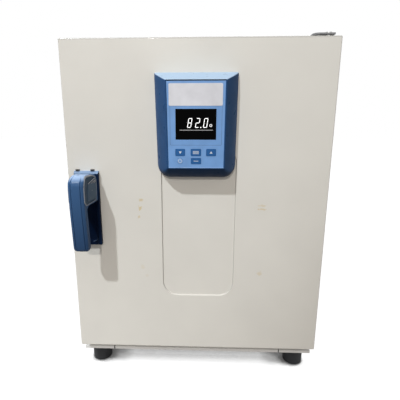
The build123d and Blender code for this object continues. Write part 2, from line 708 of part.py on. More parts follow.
latch_pivot_y = door_front + 28
with BuildPart() as latch_hook:
    rod_x(latch_pivot_y, latch_pivot_z, 7, (latch_x - 2, latch_x + 2))
    block((latch_x - 2, latch_x + 2), (door_front + sheet + 4, latch_pivot_y),
          (latch_pivot_z - 4, latch_pivot_z + 11))
    block((latch_x - 2, latch_x + 2), (latch_pivot_y, body_face + 14), (latch_pivot_z - 5, latch_pivot_z + 5))
    block((latch_x - 2, latch_x + 2), (body_face + 8, body_face + 14),
          (latch_pivot_z - 13, latch_pivot_z + 5))
    rod_x(latch_pivot_y, latch_pivot_z, 3 + running_gap, (latch_x - 2, latch_x + 2), Mode.SUBTRACT)
save(latch_hook, "latch_hook")

with BuildPart() as latch_bracket:
    block((latch_x + 3, latch_x + 5), (door_front + 14, door_back - sheet),
          (latch_pivot_z - 14, latch_pivot_z + 14))
    block((latch_x + 5, latch_x + 14), (door_back - sheet - 2, door_back - sheet),
          (latch_pivot_z - 14, latch_pivot_z + 14))
    rod_x(latch_pivot_y, latch_pivot_z, 3, (latch_x - 4, latch_x + 3))
save(latch_bracket, "latch_bracket")

with BuildPart() as latch_keeper:
    plate((latch_x - 10, latch_x + 10), (latch_pivot_z - 30, latch_pivot_z + 34),
          (chamber_front, chamber_front + 2), 3)
    block((latch_x - 7, latch_x + 7), (chamber_front, chamber_front + 2),
          (latch_pivot_z - 13.5, latch_pivot_z + 20), Mode.SUBTRACT)
save(latch_keeper, "latch_keeper")
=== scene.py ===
# %% [markdown]
# # A bench-top laboratory oven
#
# The oven's construction is already packed: sixty pieces at their real size, with their joints. This
# lesson gives them their looks. Some pieces only need a finish, because their shape is right. Others,
# such as the moulded control housing and the lever, need softer forms than flat-sided CAD gives, so
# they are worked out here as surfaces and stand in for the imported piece.
#
# Everything is in metres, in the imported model's own frame: +X to the right, +Y away from us, +Z up.

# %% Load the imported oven
import json
import math

import bmesh
import bpy
import numpy as np
from mathutils import Matrix, Vector


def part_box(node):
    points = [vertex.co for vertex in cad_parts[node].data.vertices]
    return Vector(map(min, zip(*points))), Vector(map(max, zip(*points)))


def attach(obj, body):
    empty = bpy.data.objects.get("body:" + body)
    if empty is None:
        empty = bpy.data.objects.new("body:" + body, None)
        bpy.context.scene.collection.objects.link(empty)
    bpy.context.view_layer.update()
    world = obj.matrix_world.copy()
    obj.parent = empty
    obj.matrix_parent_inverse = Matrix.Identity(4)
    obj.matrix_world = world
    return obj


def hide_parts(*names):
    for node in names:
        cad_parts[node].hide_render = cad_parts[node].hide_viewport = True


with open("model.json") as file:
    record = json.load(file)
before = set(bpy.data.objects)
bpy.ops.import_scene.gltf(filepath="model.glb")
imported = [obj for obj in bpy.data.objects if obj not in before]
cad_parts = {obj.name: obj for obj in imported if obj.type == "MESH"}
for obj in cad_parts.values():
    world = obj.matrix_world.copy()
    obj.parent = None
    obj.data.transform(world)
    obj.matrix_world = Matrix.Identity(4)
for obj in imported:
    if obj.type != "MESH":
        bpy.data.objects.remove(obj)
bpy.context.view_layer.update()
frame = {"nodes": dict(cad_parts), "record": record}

# %% [markdown]
# ## The camera
#
# A photograph fixes its own camera. The door's four edges were matched to their real places, and that
# gave where the lens was, how it was turned and its angle. The camera stands a little below the oven's
# top and looks down by about thirteen degrees, so the door narrows towards the feet. The photograph was
# cut off-centre: the point straight ahead of the lens is a little left of its middle, and a small shift
# of the frame says the same.

# %% Place the camera
MM = 0.001
eye = Vector((7.94, -960.35, 582.99)) * MM
pitch, yaw, roll = -0.2326, 0.0393, 0.0012

camera = bpy.data.objects.new("camera", bpy.data.cameras.new("camera"))
bpy.context.scene.collection.objects.link(camera)
camera.data.lens = 31.99
camera.data.shift_x = 0.0315
camera.data.sensor_width = 36.0
camera.data.clip_start, camera.data.clip_end = 0.05, 50.0
turned = Matrix.Rotation(yaw, 4, "Z") @ Matrix.Rotation(pitch, 4, "X") @ Matrix.Rotation(roll, 4, "Y")
camera.matrix_world = Matrix.Translation(eye) @ turned @ Matrix.Rotation(math.pi / 2, 4, "X")
bpy.context.scene.camera = camera
print("camera at", [round(c, 3) for c in eye])

# %% [markdown]
# ## Light and background
#
# The handle's and the control unit's shadows on the door fall to the right and far below, with a narrow
# soft edge: one lamp stands high on the left, in front. It is a spot whose rim crosses the door, so the
# door gets darker towards its lower right. Close under the control unit and the handle there is a
# second, short and darker shadow: another lamp stands in front, a little above. The room itself gives
# the rest, which is the world here: an even pale room over a greyer bench. A weak lamp over the oven
# only pales what faces up.

# %% Three lamps
scene = bpy.context.scene
scene.view_settings.view_transform = "Standard"

LAMP_TINT = (0.90, 0.95, 1.0)
CEILING_TINT = (0.92, 0.96, 1.0)
ROOM_TINT = (1.0, 0.955, 0.91)
WINDOW_WATTS, FRONT_WATTS, CEILING_WATTS = 1530.0, 380.0, 8.0
WINDOW_CONE, FRONT_CONE = math.radians(47.2), math.radians(24)
FRONT_WAY, FRONT_DISTANCE = Vector((-0.15, -1.0, 0.5)), 6.0


def lamp(name, kind, place, aim, energy, colour, **settings):
    """A lamp at place that points at aim; settings are its own properties by name."""
    data = bpy.data.lights.new(name, kind)
    data.energy, data.color = energy, colour
    for key, value in settings.items():
        setattr(data, key, value)
    holder = bpy.data.objects.new(name, data)
    holder.location = place
    holder.rotation_euler = (Vector(aim) - Vector(place)).to_track_quat("-Z", "Y").to_euler()
    scene.collection.objects.link(holder)
    return holder


door_low, door_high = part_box("door_skin")
lamp("window_lamp", "SPOT", (-2.75, -4.2, 6.23), (-1.964, door_low.y, 3.176), WINDOW_WATTS,
     LAMP_TINT, spot_size=WINDOW_CONE, spot_blend=0.12, shadow_soft_size=0.12)
door_middle = Vector((0.0, door_low.y, 0.4))
lamp("front_lamp", "SPOT", door_middle + FRONT_WAY.normalized() * FRONT_DISTANCE, door_middle, FRONT_WATTS,
     ROOM_TINT, spot_size=FRONT_CONE, spot_blend=0.8, shadow_soft_size=0.08)
lamp("ceiling_lamp", "AREA", (0.0, 0.75, 2.1), (0, door_low.y, 0.66), CEILING_WATTS, CEILING_TINT, size=1.3)
print("lamps of", WINDOW_WATTS, FRONT_WATTS, "and", CEILING_WATTS, "watts")

# %% [markdown]
# The room and the page behind the oven are one world with two faces. A ray from the camera, or one that
# a mirror or glass sends on, sees the white page. Every other ray sees the dimmer, warmer room, and that
# is what lights the oven.

# %% The room and the white page
ROOM_LEVEL = 0.335


def white_to_camera(tree, plain, white):
    """Mix of two shaders in a node tree: rays from the camera, mirrors and glass see the white one."""
    rays = tree.nodes.new("ShaderNodeLightPath")
    total = rays.outputs["Is Camera Ray"]
    for other in ("Is Glossy Ray", "Is Transmission Ray"):
        join = tree.nodes.new("ShaderNodeMath")
        join.operation = "MAXIMUM"
        tree.links.new(total, join.inputs[0])
        tree.links.new(rays.outputs[other], join.inputs[1])
        total = join.outputs[0]
    mix = tree.nodes.new("ShaderNodeMixShader")
    tree.links.new(total, mix.inputs[0])
    tree.links.new(plain, mix.inputs[1])
    tree.links.new(white, mix.inputs[2])
    return mix.outputs[0]


world = bpy.data.worlds.new("room")
world.use_nodes = True
scene.world = world
sky = world.node_tree
room, page = sky.nodes["Background"], sky.nodes.new("ShaderNodeBackground")
room.inputs["Color"].default_value = (*ROOM_TINT, 1)
room.inputs["Strength"].default_value = ROOM_LEVEL
page.inputs["Color"].default_value = (1, 1, 1, 1)
page.inputs["Strength"].default_value = 1.0
sky.links.new(white_to_camera(sky, room.outputs[0], page.outputs[0]),
              sky.nodes["World Output"].inputs["Surface"])
print("room at", ROOM_LEVEL, "of the page's white")

# %% [markdown]
# The floor has the same two faces. To the camera it is white paper that glows as brightly as the page,
# but less where something stands close above it. Ambient occlusion measures that closeness, so the
# shadow stays narrow under the plinth and the feet, as in the picture. To all other rays the floor is a
# grey bench, which throws a little light up onto the oven.

# %% The floor and its shadow
SHADOW_REACH = 0.06
PAPER, BENCH = (0.12, 0.12, 0.12), (0.50, 0.49, 0.48)
FLOOR_SIZE, FLOOR_DROP = 16, 0.4 * MM


def spread(made, value, low, high, to_low, to_high):
    """Map the stretch low to high of a pattern onto to_low to to_high, clamped."""
    node = made.node_tree.nodes.new("ShaderNodeMapRange")
    for key, number in zip(("From Min", "From Max", "To Min", "To Max"), (low, high, to_low, to_high)):
        node.inputs[key].default_value = number
    made.node_tree.links.new(value, node.inputs["Value"])
    return node.outputs[0]


floor_paper = bpy.data.materials.new("floor_paper")
floor_paper.use_nodes = True
tree = floor_paper.node_tree
paper = tree.nodes["Principled BSDF"]
paper.inputs["Base Color"].default_value = (*PAPER, 1)
paper.inputs["Roughness"].default_value = 0.9
paper.inputs["Specular IOR Level"].default_value = 0.0
near = tree.nodes.new("ShaderNodeAmbientOcclusion")
near.inputs["Distance"].default_value = SHADOW_REACH
glow = tree.nodes.new("ShaderNodeEmission")
tree.links.new(spread(floor_paper, near.outputs["AO"], 0.465, 0.565, 0.08, 1.0), glow.inputs["Strength"])
added = tree.nodes.new("ShaderNodeAddShader")
tree.links.new(paper.outputs[0], added.inputs[0])
tree.links.new(glow.outputs[0], added.inputs[1])
bench = tree.nodes.new("ShaderNodeBsdfDiffuse")
bench.inputs["Color"].default_value = (*BENCH, 1)
tree.links.new(white_to_camera(tree, bench.outputs[0], added.outputs[0]),
               tree.nodes["Material Output"].inputs["Surface"])

bpy.ops.mesh.primitive_plane_add(size=FLOOR_SIZE, location=(0, 0, -FLOOR_DROP))
floor = bpy.context.object
floor.name = "floor"
floor.data.materials.append(floor_paper)
print("floor", FLOOR_SIZE, "metres across")

# %% [markdown]
# ## Finishes
#
# A real finish is never one flat colour. Powder paint has an orange-peel skin, moulded plastic a fine
# grain and patches where hands have polished it, brushed sheet has lines in one direction. Each of
# these is a noise pattern on the object's own coordinates, so it stays on the metal when the door
# swings. Whatever is the same all over, such as metalness or the index of refraction, is set on the
# shader itself.

# %% Helpers for finishes


def finish_start(name, colour, roughness, metallic=0.0, **sockets):
    """Material with one Principled shader; sockets are further inputs, with _ for a space."""
    made = bpy.data.materials.new("finish_" + name)
    made.use_nodes = True
    shader = made.node_tree.nodes["Principled BSDF"]
    shader.inputs["Base Color"].default_value = (*colour, 1)
    shader.inputs["Roughness"].default_value = roughness
    shader.inputs["Metallic"].default_value = metallic
    for key, value in sockets.items():
        shader.inputs[key.replace("_", " ")].default_value = value
    return made


def cloud(made, size, stretch=(1, 1, 1), detail=2.0, shift=0.0):
    """Noise between 0 and 1 whose blobs measure about size metres, drawn out along an axis by stretch."""
    nodes, links = made.node_tree.nodes, made.node_tree.links
    place = nodes.new("ShaderNodeTexCoord")
    scale = nodes.new("ShaderNodeMapping")
    scale.inputs["Scale"].default_value = [1 / (size * s) for s in stretch]
    scale.inputs["Location"].default_value = (shift, shift, shift)
    noise = nodes.new("ShaderNodeTexNoise")
    noise.inputs["Scale"].default_value = 1.0
    noise.inputs["Detail"].default_value = detail
    links.new(place.outputs["Object"], scale.inputs["Vector"])
    links.new(scale.outputs[0], noise.inputs["Vector"])
    return noise.outputs["Fac"]


def tint(made, factor, low_colour, high_colour=None):
    """Base colour between low_colour, or what it was, and high_colour as factor goes from 0 to 1."""
    nodes, links = made.node_tree.nodes, made.node_tree.links
    base = nodes["Principled BSDF"].inputs["Base Color"]
    mix = nodes.new("ShaderNodeMix")
    mix.data_type = "RGBA"
    first, second = mix.inputs[6], mix.inputs[7]
    if high_colour is None:
        if base.is_linked:
            links.new(base.links[0].from_socket, first)
        else:
            first.default_value = base.default_value
        second.default_value = (*low_colour, 1)
    else:
        first.default_value, second.default_value = (*low_colour, 1), (*high_colour, 1)
    links.new(factor, mix.inputs[0])
    links.new(mix.outputs[2], base)


def gloss(made, factor, low, high):
    """Roughness between low and high as factor goes from 0.3 to 0.7."""
    nodes, links = made.node_tree.nodes, made.node_tree.links
    links.new(spread(made, factor, 0.3, 0.7, low, high), nodes["Principled BSDF"].inputs["Roughness"])


def relief(made, height, depth):
    """Bump of depth metres where height goes from 0 to 1, on top of any bump already there."""
    nodes, links = made.node_tree.nodes, made.node_tree.links
    normal = nodes["Principled BSDF"].inputs["Normal"]
    bump = nodes.new("ShaderNodeBump")
    bump.inputs["Distance"].default_value = depth
    links.new(height, bump.inputs["Height"])
    if normal.is_linked:
        links.new(normal.links[0].from_socket, bump.inputs["Normal"])
    links.new(bump.outputs[0], normal)


def shade(colour, share):
    """The colour with its brightness times share."""
    return tuple(c * share for c in colour)


def mottled(made, colour, pattern, dark, light):
    """Base colour from dark to light times the colour as the pattern goes from 0.3 to 0.7."""
    tint(made, spread(made, pattern, 0.3, 0.7, 0, 1), shade(colour, dark), shade(colour, light))


# %% [markdown]
# ### Powder paint
#
# The cabinet is warm off-white powder paint, half glossy. Three scales of noise make it: faint
# patches as wide as a hand, a skin of bumps about a millimetre and a half across, and fine specks. The
# door has a few small yellow-brown marks where tape was pulled off. Each mark is a soft ellipse on the
# door's face with its edge broken up by noise.

# %% Powder paint, with the tape marks of the door
PAINT = (0.74, 0.715, 0.655)


def powder_paint(name, colour, roughness=0.34):
    """Half-glossy powder coat: patches, orange peel and specks."""
    made = finish_start(name, colour, roughness, Coat_Weight=0.15, Coat_Roughness=0.12)
    mottled(made, colour, cloud(made, 0.12, detail=3), 0.97, 1.02)
    tint(made, spread(made, cloud(made, 0.0011, shift=3), 0.70, 0.78, 0, 0.10), shade(colour, 0.55))
    gloss(made, cloud(made, 0.03, shift=7), roughness - 0.03, roughness + 0.05)
    relief(made, cloud(made, 0.0016, detail=1), 0.00003)
    relief(made, cloud(made, 0.02, detail=0, shift=2), 0.00006)
    return made


def distance_mark(made, x, z, wide, tall, deep=0.02, ragged=0.45):
    """0 at a mark's centre and 1 on its ragged elliptical edge, on the door's face."""
    nodes, links = made.node_tree.nodes, made.node_tree.links
    place = nodes.new("ShaderNodeTexCoord")
    move = nodes.new("ShaderNodeMapping")
    move.vector_type = "TEXTURE"
    move.inputs["Location"].default_value = (x, door_low.y, z)
    move.inputs["Scale"].default_value = (wide / 2, deep / 2, tall / 2)
    size = nodes.new("ShaderNodeVectorMath")
    size.operation = "LENGTH"
    rough = nodes.new("ShaderNodeMath")
    rough.operation = "ADD"
    links.new(place.outputs["Object"], move.inputs["Vector"])
    links.new(move.outputs[0], size.inputs[0])
    links.new(size.outputs["Value"], rough.inputs[0])
    links.new(spread(made, cloud(made, 0.004, detail=4, shift=x), 0.3, 0.7, -ragged, ragged), rough.inputs[1])
    return rough.outputs[0]


door_paint = powder_paint("door_paint", PAINT)
TAPE_BROWN = (0.62, 0.46, 0.17)
TAPE_MARKS = ((-0.1187, 0.3964, 0.0115, 0.0105, 0.62), (-0.1161, 0.4135, 0.0095, 0.0090, 0.55),
              (-0.1214, 0.3769, 0.0065, 0.0070, 0.50), (0.1332, 0.4035, 0.0190, 0.0050, 0.34),
              (0.1332, 0.3960, 0.0190, 0.0045, 0.52), (0.1342, 0.2535, 0.0115, 0.0125, 0.30),
              (-0.1164, 0.2644, 0.0100, 0.0120, 0.14), (-0.1082, 0.2458, 0.0080, 0.0080, 0.12))
for x, z, wide, tall, strength in TAPE_MARKS:
    mark = spread(door_paint, distance_mark(door_paint, x, z, wide, tall), 0.55, 1.0, strength, 0.0)
    tint(door_paint, mark, TAPE_BROWN)
print(len(TAPE_MARKS), "tape marks on the door")

# %% [markdown]
# ### The other finishes
#
# Sheet that is brushed gets noise drawn out sixty times along the brush's direction, which both tints
# it and bends its reflections. Moulded plastic gets a fine spark-eroded grain and hand-polished
# patches. Mineral wool gets curled fibres from two crossed stretched noises. Each finish is kept under
# the name of its material slot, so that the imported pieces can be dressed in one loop.

# %% Metals, plastics, rubber and wool


def brushed(name, colour, roughness, along):
    """Brushed sheet with its lines along axis 0, 1 or 2."""
    stretch = [1.0, 1.0, 1.0]
    stretch[along] = 60.0
    made = finish_start(name, colour, roughness, metallic=1.0)
    lines = cloud(made, 0.0006, stretch, detail=3)
    mottled(made, colour, lines, 0.86, 1.08)
    gloss(made, cloud(made, 0.02, detail=2, shift=5), roughness - 0.05, roughness + 0.06)
    relief(made, lines, 0.000012)
    return made


def plated(name, colour, roughness):
    """Plated or polished metal with faint handling clouds."""
    made = finish_start(name, colour, roughness, metallic=1.0)
    mottled(made, colour, cloud(made, 0.006, detail=3), 0.85, 1.05)
    gloss(made, cloud(made, 0.01, shift=4), roughness - 0.06, roughness + 0.08)
    relief(made, cloud(made, 0.0008), 0.000008)
    return made


def moulded(name, colour, roughness, grain=0.00035, depth=0.000014, **sockets):
    """Moulded plastic: spark-eroded grain and patches polished by hands."""
    made = finish_start(name, colour, roughness, **sockets)
    mottled(made, colour, cloud(made, 0.03, detail=3), 0.90, 1.08)
    gloss(made, cloud(made, 0.018, detail=3, shift=6), roughness - 0.07, roughness + 0.07)
    relief(made, cloud(made, grain, detail=1), depth)
    return made


def wool(name, colour):
    """Mineral wool: short fibres crossing each other."""
    made = finish_start(name, colour, 0.95, Sheen_Weight=0.2)
    for way in ((9, 1, 1), (1, 1, 9)):
        fibres = cloud(made, 0.0007, way, detail=3)
        tint(made, spread(made, fibres, 0.45, 0.7, 0, 0.5), shade(colour, 1.35))
        relief(made, fibres, 0.0004)
    tint(made, spread(made, cloud(made, 0.03, detail=3), 0.4, 0.7, 0, 0.6), shade(colour, 0.6))
    return made


BLUE_DARK = (0.022, 0.072, 0.185)
BLUE_LIGHT = (0.160, 0.330, 0.640)
finish = {
    "cabinet_paint": powder_paint("cabinet_paint", PAINT),
    "rear_paint": powder_paint("rear_paint", shade(PAINT, 0.96), 0.42),
    "plinth_paint": powder_paint("plinth_paint", (0.75, 0.74, 0.715)),
    "stainless": brushed("stainless", (0.60, 0.60, 0.585), 0.30, 0),
    "steel_bright": plated("steel_bright", (0.66, 0.66, 0.65), 0.32),
    "wire_chrome": plated("wire_chrome", (0.74, 0.74, 0.73), 0.20),
    "hinge_dark": moulded("hinge_dark", (0.20, 0.20, 0.205), 0.42, 0.0012, 0.00002),
    "mineral_wool": wool("mineral_wool", (0.50, 0.43, 0.24)),
    "silicone_grey": moulded("silicone_grey", (0.20, 0.205, 0.205), 0.60),
    "rubber_black": moulded("rubber_black", (0.013, 0.014, 0.016), 0.62, 0.0009, 0.00005,
                            Specular_IOR_Level=0.3),
    "blue_dark": moulded("blue_dark", BLUE_DARK, 0.33, Specular_IOR_Level=0.06),
    "blue_light": moulded("blue_light", BLUE_LIGHT, 0.40, 0.0005, 0.000010),
    "key_blue": moulded("key_blue", (0.022, 0.110, 0.31), 0.45, 0.0005, 0.000010,
                        Specular_IOR_Level=0.2),
    "badge_white": moulded("badge_white", (0.70, 0.70, 0.735), 0.36, 0.0008, 0.000008),
    "lens_black": finish_start("lens_black", (0.0004, 0.0004, 0.0005), 0.12, Specular_IOR_Level=0.03),
    "insert_grey": moulded("insert_grey", (0.072, 0.118, 0.178), 0.46, 0.0006, 0.00003,
                           Specular_IOR_Level=0.15),
    "board_green": moulded("board_green", (0.020, 0.115, 0.050), 0.40, 0.002, 0.00004),
    "black_plastic": moulded("black_plastic", (0.016, 0.016, 0.018), 0.40),
    "motor_steel": powder_paint("motor_steel", (0.115, 0.120, 0.125), 0.45),
}
gloss(finish["lens_black"], cloud(finish["lens_black"], 0.02, detail=3), 0.09, 0.16)
print(len(finish), "finishes")

# %% [markdown]
# ### Painted light and shade on the mouldings and the door
#
# The blue mouldings are painted paler where they face up, a painted highlight of the light from above,
# and the lever is painted darker towards its lower end and lighter towards its top, as shade and light
# fall on it. Both are mixed into the base colour: the lever's by the height on the piece, the pale tops'
# by the way the surface faces on the piece itself, so that it stays when the door swings. Where the blue
# faces down, on the base under the lever and in its well, and on the door's rounded edges, painted shade
# darkens the colour.

# %% Painted highlights and shade on the mouldings, and the imported pieces dressed


def one_axis(made, vector, axis):
    """One axis of the piece's own Object position or Normal."""
    place = made.node_tree.nodes.new("ShaderNodeTexCoord")
    part = made.node_tree.nodes.new("ShaderNodeSeparateXYZ")
    made.node_tree.links.new(place.outputs[vector], part.inputs[0])
    return part.outputs[axis]


def upward(made, low, high):
    """0 below the height low and 1 above the height high, on the object's own Z."""
    return spread(made, one_axis(made, "Object", "Z"), low, high, 0.0, 1.0)


def painted_light_by_facing(made, colour, low, high, axis="Z"):
    """Painted shade or highlight where the normal's part along an axis passes from low, for none, to high,
    for all.
    """
    tint(made, spread(made, one_axis(made, "Normal", axis), low, high, 0.0, 0.94), colour)


lever_blue = moulded("lever_blue", BLUE_DARK, 0.36, Specular_IOR_Level=0.12)
base_low, base_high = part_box("handle_base")
# Painted light and shade: the lever's blue is lighter towards its top and darker towards its foot.
tint(lever_blue, upward(lever_blue, base_low.z, base_high.z), (0.017, 0.047, 0.112), (0.046, 0.115, 0.250))
# The base's blue is a darker, shaded copy of the moulded blue: painted shade.
base_blue_shaded = moulded("base_blue_shaded", (0.003, 0.015, 0.052), 0.40, Specular_IOR_Level=0.05)
# Painted shade: near-black blue where a moulding faces down, and deeper still in the base's well.
UNDERSIDE_PAINTED_SHADE, WELL_PAINTED_SHADE = (0.001, 0.014, 0.044), (0.001, 0.006, 0.022)
painted_light_by_facing(finish["blue_dark"], UNDERSIDE_PAINTED_SHADE, -0.08, -0.60)
# Painted highlight: the blue pales where it faces up, as the light from above falls on it.
for blue, pale, low, high in ((finish["blue_dark"], (0.45, 0.59, 0.75), 0.15, 0.75),
                              (lever_blue, (0.42, 0.58, 0.85), 0.50, 0.92),
                              (base_blue_shaded, (0.36, 0.50, 0.72), 0.30, 0.85)):
    painted_light_by_facing(blue, pale, low, high)
# Painted shade in the well of the base, behind the lever.
well = distance_mark(base_blue_shaded, (base_low.x + base_high.x) / 2, base_low.z + 60 * MM, 66 * MM, 136 * MM,
                     deep=0.2, ragged=0.05)
tint(base_blue_shaded, spread(base_blue_shaded, well, 0.8, 1.1, 1.0, 0.0), WELL_PAINTED_SHADE)

for part in frame["record"]["subparts"]:
    mesh = frame["nodes"][part["node"]].data
    mesh.materials.clear()
    mesh.materials.append(finish[part["material_slot"]])
# Painted shade on the door's rounded top edge and on its faces that turn to the sides.
TOP_EDGE_PAINTED_SHADE, SIDE_EDGE_PAINTED_SHADE = shade(PAINT, 0.66), shade(PAINT, 0.70)
tint(door_paint, upward(door_paint, door_high.z - 3.6 * MM, door_high.z - 1.4 * MM), TOP_EDGE_PAINTED_SHADE)
for sign in (1, -1):
    painted_light_by_facing(door_paint, SIDE_EDGE_PAINTED_SHADE, sign * 0.25, sign * 0.80, "X")
frame["nodes"]["door_skin"].data.materials[0] = door_paint
frame["nodes"]["handle_base"].data.materials[0] = base_blue_shaded
print("finishes put on", len(frame["nodes"]), "packed pieces")

# %% [markdown]
# ## From arrays of points to pieces
#
# Most new pieces are rows of points: a closed outline that changes from row to row, like the hoops of
# a barrel. Neighbouring rows are joined by quads. The ends are closed by a face, or the last row is
# joined to the first, as on a ring. The arithmetic is done on whole arrays, and only the finished
# points go to Blender.

# %% Helpers for shapes


def skin(rows, ends="cap"):
    """Points and faces of rows[i, j]: each row closes on itself; ends are capped or joined in a ring."""
    count, width = rows.shape[:2]
    bands = count if ends == "join" else count - 1
    i, j = np.meshgrid(np.arange(bands), np.arange(width), indexing="ij")
    above, beside = (i + 1) % count, (j + 1) % width
    quads = np.stack([i * width + j, i * width + beside, above * width + beside, above * width + j], axis=-1)
    faces = quads.reshape(-1, 4).tolist()
    if ends == "cap":
        faces.append(list(range(width))[::-1])
        faces.append(list(range((count - 1) * width, count * width)))
    return rows.reshape(-1, 3), faces


def piece(name, skins, body, slot, stands_for=(), crease=32.0, look=None):
    """One object made of several skins, faces outwards, smooth where it bends by less than crease degrees.

    Its finish is the slot's own, unless look gives another.
    """
    points, faces, start = [], [], 0
    for part_points, part_faces in skins:
        points.append(part_points)
        faces += [[start + k for k in face] for face in part_faces]
        start += len(part_points)
    mesh = bpy.data.meshes.new(name)
    mesh.from_pydata(np.concatenate(points), [], faces)
    shell = bmesh.new()
    shell.from_mesh(mesh)
    bmesh.ops.recalc_face_normals(shell, faces=shell.faces)
    shell.to_mesh(mesh)
    shell.free()
    mesh.polygons.foreach_set("use_smooth", np.ones(len(mesh.polygons), bool))
    mesh.set_sharp_from_angle(angle=math.radians(crease))
    mesh.materials.append(look or finish[slot])
    made = bpy.data.objects.new(name, mesh)
    scene.collection.objects.link(made)
    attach(made, body)
    if stands_for:
        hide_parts(*stands_for)
    print(f"{name}: {len(mesh.polygons)} faces")
    return made


def rounded(left, right, low, high, low_radius, high_radius, steps=8):
    """Rectangles with round corners, one per row: a corner is its centre plus radius times (cos, sin)."""
    quarter = np.radians(np.linspace(0, 90, steps))
    corners = []
    for side, end, radius, start in ((right, low, low_radius, -90), (right, high, high_radius, 0),
                                     (left, high, high_radius, 90), (left, low, low_radius, 180)):
        inward_x = -1 if side is right else 1
        inward_z = -1 if end is high else 1
        angle = quarter + np.radians(start)
        centre_x, centre_z = side + inward_x * radius, end + inward_z * radius
        corners.append(np.stack([centre_x[:, None] + radius[:, None] * np.cos(angle),
                                 centre_z[:, None] + radius[:, None] * np.sin(angle)], axis=-1))
    return np.concatenate(corners, axis=1)


def facing(outlines, y):
    """Rows in the XZ plane at the depths y: outline (a, b) becomes (a, y, b)."""
    depth = np.broadcast_to(y[:, None], outlines.shape[:2])
    return np.stack([outlines[..., 0], depth, outlines[..., 1]], axis=-1)


def lathe(radius, height, centre, steps=48):
    """Rows of a turned shape about an upright axis through centre: radius times (cos, sin), at height."""
    angle = np.linspace(0, 2 * np.pi, steps, endpoint=False)
    x, y = centre[0] + radius[:, None] * np.cos(angle), centre[1] + radius[:, None] * np.sin(angle)
    return np.stack([x, y, np.broadcast_to((centre[2] + height)[:, None], x.shape)], axis=-1)


def tilted(rows, axis):
    """The same rows with the turning axis laid from +Z onto the given axis, about the origin."""
    turn = np.array(Vector((0, 0, 1)).rotation_difference(Vector(axis)).to_matrix())
    return rows @ turn.T


# %% [markdown]
# ## The control housing
#
# The blue housing on the door is a moulded frame. Its walls swell a little on their way from the door to
# the rim, the sides more than the top, so the two meet in a slightly curved mitre. One number,
# the lift from 0 on the door to 1 at the rim, gives the insets: each is a run times a power of the lift.
# Each row of the surface is the rounded rectangle at that lift. The rows then turn over the rim, go down
# the window to the door and join the first row, so that the frame is a closed ring. The whole frame is a
# little narrower at its foot than at its top.

# %% Control housing
housing_low, housing_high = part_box("control_housing")
face_low, face_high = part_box("control_face")
door_y = door_low.y
rim_y = housing_low.y
RIM_TOP, RIM_SIDE = 2.0 * MM, 2.0 * MM
WINDOW_GAP_TOP = 2.1 * MM
CORNER_TOP, CORNER_FOOT = 3 * MM, 25 * MM
RIM_CORNER_TOP, RIM_CORNER_FOOT = 1.2 * MM, 2 * MM
housing_mid = (housing_low.x + housing_high.x) / 2
NARROWING = 0.28, 0.16


def narrowed(outline):
    """The outline drawn in sideways: its distance from the middle shrinks evenly on the way down."""
    share = np.where(outline[..., 0] < housing_mid, *NARROWING)
    factor = 1 - share * (housing_high.z - outline[..., 1])
    return np.stack([housing_mid + (outline[..., 0] - housing_mid) * factor, outline[..., 1]], axis=-1)


lift = np.linspace(0, 1, 30) ** 0.8
side_share, top_share, low_share = lift ** 1.3, lift ** 1.1, lift ** 2.4
left_run = (face_low.x - RIM_SIDE) - housing_low.x
right_run = housing_high.x - (face_high.x + RIM_SIDE)
top_run = housing_high.z - (face_high.z + RIM_TOP)
low_run = (face_low.z - RIM_SIDE) - housing_low.z
outline = rounded(housing_low.x + left_run * side_share, housing_high.x - right_run * side_share,
                  housing_low.z + low_run * low_share, housing_high.z - top_run * top_share,
                  CORNER_FOOT + (RIM_CORNER_FOOT - CORNER_FOOT) * side_share,
                  CORNER_TOP + (RIM_CORNER_TOP - CORNER_TOP) * lift, steps=10)
slope = facing(narrowed(outline), door_y - (door_y - rim_y) * lift)

over = np.array([0.25, 0.6, 0.85, 0.95])
over_y = rim_y + np.array([0.0, 0.0, 0.15, 0.6]) * MM
rim_outline = rounded(face_low.x - RIM_SIDE * (1 - over), face_high.x + RIM_SIDE * (1 - over),
                      face_low.z - RIM_SIDE * (1 - over),
                      face_high.z + RIM_TOP - (RIM_TOP - WINDOW_GAP_TOP) * over,
                      RIM_CORNER_FOOT - 0.9 * MM * over, RIM_CORNER_TOP - 0.2 * MM * over, steps=10)
ones = np.ones(2)
window = rounded(face_low.x * ones, face_high.x * ones, face_low.z * ones,
                 (face_high.z + WINDOW_GAP_TOP) * ones, 1 * MM * ones, 1 * MM * ones, steps=10)
rows = np.concatenate([slope, facing(narrowed(rim_outline), over_y),
                       facing(narrowed(window), np.array([rim_y + 1.0 * MM, door_y]))])
piece("housing_shell", [skin(rows, "join")], "door", "blue_dark", ["control_housing"])

# %% [markdown]
# ## What shows on the control face
#
# The face is a printed film over the display and the keys. A raised line frames the display's field,
# open at the top under the bare white badge. The display shows a plain number in seven-segment bars:
# each bar is a flat hexagon, and the whole figure leans by nine degrees. The keys carry generic signs.

# %% Field line around the display
badge_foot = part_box("badge_plate")[0].z
film_y = face_low.y
LINE_WIDTH, LINE_HEIGHT = 0.9 * MM, 0.12 * MM


def ribbon(path, width, height, y):
    """Low raised line along an open path in the XZ plane: a half-round section carried square to it."""
    step = np.gradient(path, axis=0)
    step /= np.linalg.norm(step, axis=1, keepdims=True)
    across = np.stack([-step[:, 1], step[:, 0]], axis=1)
    turn = np.radians(np.linspace(0, 180, 7))
    offset, rise = np.cos(turn) * width / 2, np.sin(turn) * height
    offset, rise = np.append(offset, 0.0), np.append(rise, -0.3 * height)
    x = path[:, None, 0] + across[:, None, 0] * offset
    z = path[:, None, 1] + across[:, None, 1] * offset
    return np.stack([x, y - np.broadcast_to(rise, x.shape), z], axis=-1)


